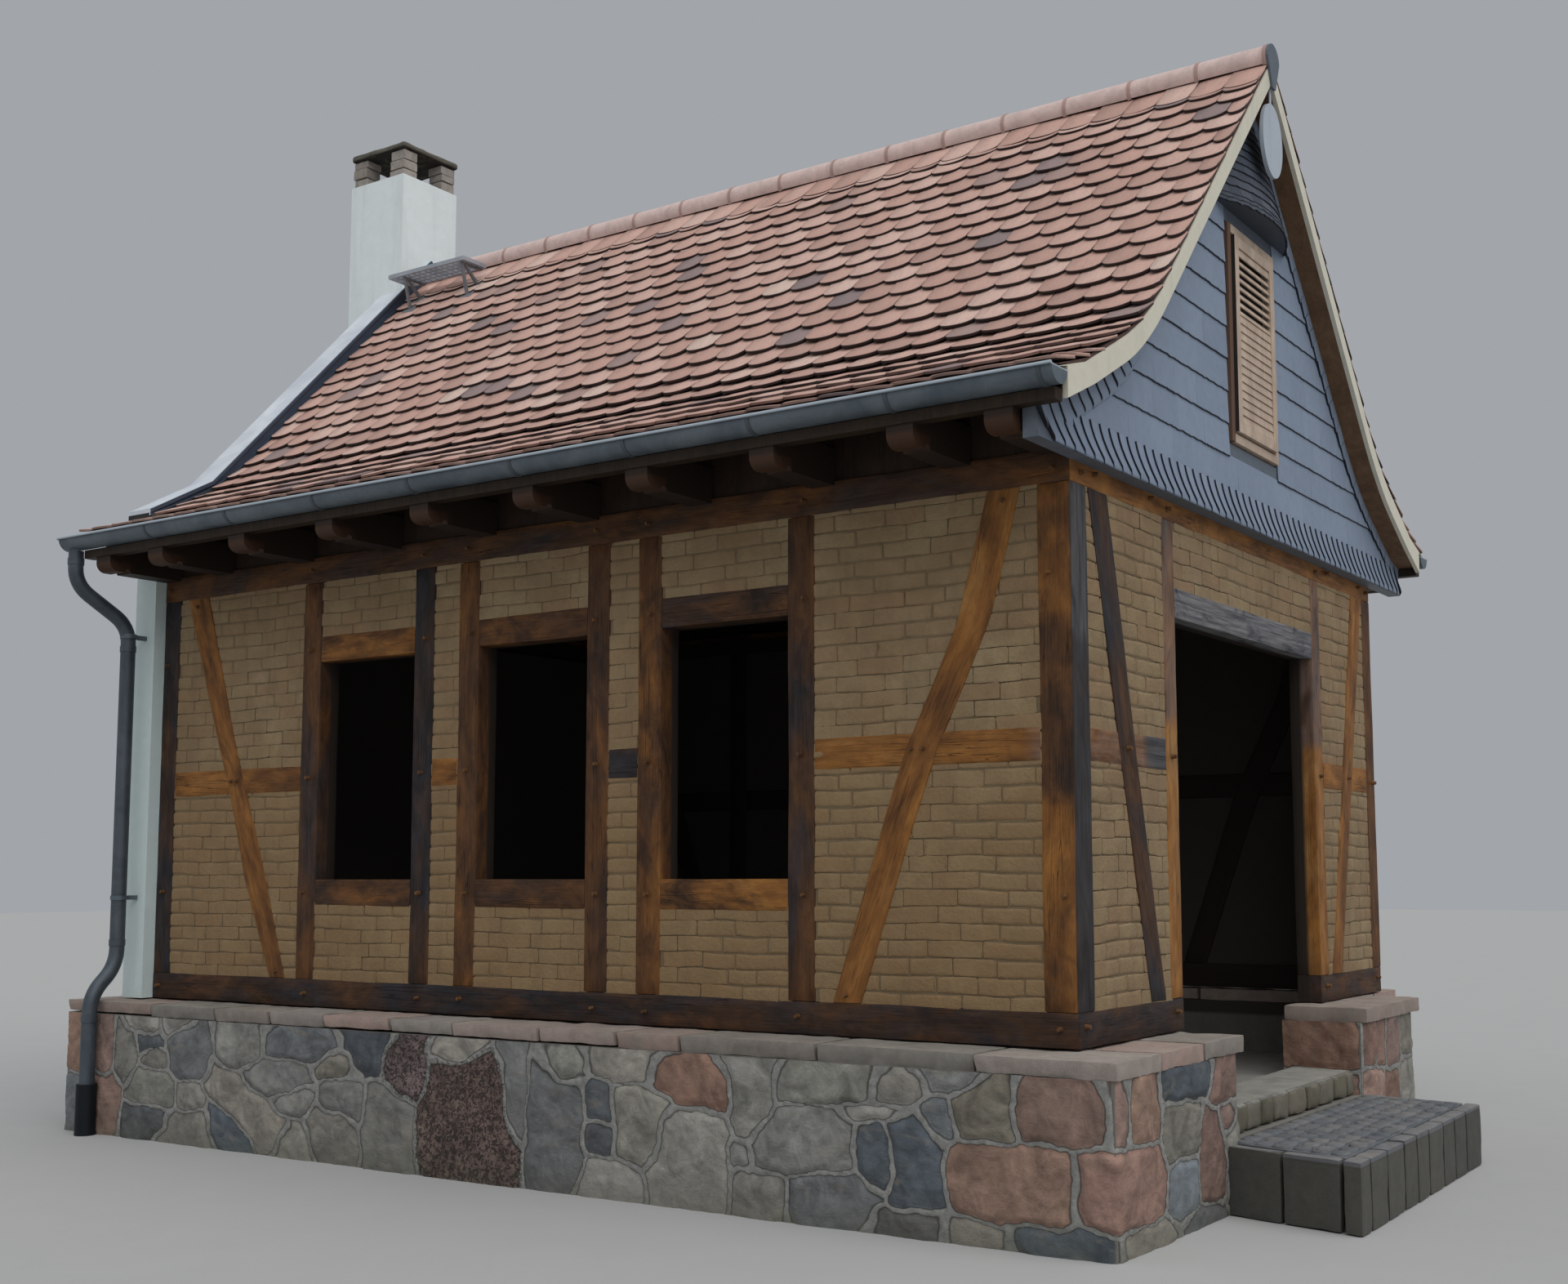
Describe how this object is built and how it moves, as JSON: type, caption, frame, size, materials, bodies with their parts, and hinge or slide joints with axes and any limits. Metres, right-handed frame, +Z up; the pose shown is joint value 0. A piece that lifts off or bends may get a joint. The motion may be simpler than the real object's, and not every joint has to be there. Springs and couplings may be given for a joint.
{
  "type": "half timbered house",
  "caption": "Small half-timbered house on a rubble plinth with a bell-cast tiled roof, slated gable over a wide doorway, fire wall and chimney.",
  "frame": {"origin": "centre of the plinth's footprint, at the level the building stands on", "axes": "+X along the ridge towards the gable with the doorway, -Y out of the long wall with the three windows, +Z up"},
  "size_m": [7.599, 5.364, 6.767],
  "materials": {
    "rubble_stone": "rough",
    "coping_stone": "rough",
    "sett_stone": "rough",
    "floor_concrete": "matte",
    "oak_timber": "weathered",
    "clay_brick": "clay washed",
    "lime_render": "matte",
    "chimney_brick": "rough",
    "zinc_sheet": "satin",
    "softwood": "sawn",
    "painted_board": "painted",
    "roof_tile": "matte",
    "roof_slate": "satin",
    "pale_plaque": "satin",
    "black_plastic": "matte"
  },
  "bodies": {
    "root": {"plinth_long_walls": "rubble_stone", "plinth_end_walls": "rubble_stone", "coping_slabs": "coping_stone", "door_tread": "coping_stone", "platform_edging": "sett_stone", "platform_bed": "sett_stone", "floor_slab": "floor_concrete", "sill_beams": "oak_timber", "corner_posts": "oak_timber", "wall_posts": "oak_timber", "door_posts": "oak_timber", "window_rails": "oak_timber", "mid_rails": "oak_timber", "braces": "oak_timber", "door_lintel": "oak_timber", "wall_plates": "oak_timber", "infill_long_walls": "clay_brick", "infill_gable": "clay_brick", "fire_wall": "lime_render", "parapet_cap": "zinc_sheet", "chimney_shaft": "lime_render", "chimney_piers": "chimney_brick", "chimney_cap": "chimney_brick", "ceiling_joists": "oak_timber", "eaves_filling": "softwood", "rafters": "softwood", "sprockets": "softwood", "roof_boarding": "softwood", "roof_tiles_front": "roof_tile", "roof_tiles_back": "roof_tile", "ridge_tiles": "roof_tile", "verge_boards": "painted_board", "verge_soffit": "softwood", "eaves_boards": "softwood", "gable_slating": "roof_slate", "slate_foot_band": "roof_slate", "gable_hood": "roof_slate", "louvred_shutter": "softwood", "gutters": "zinc_sheet", "gutter_brackets": "zinc_sheet", "downpipe": "zinc_sheet", "pipe_clips": "zinc_sheet", "standpipe": "black_plastic", "step_grating": "zinc_sheet", "grating_brackets": "zinc_sheet", "ridge_end_plate": "roof_slate", "oval_plaque": "pale_plaque"}
  },
  "joints": []
}
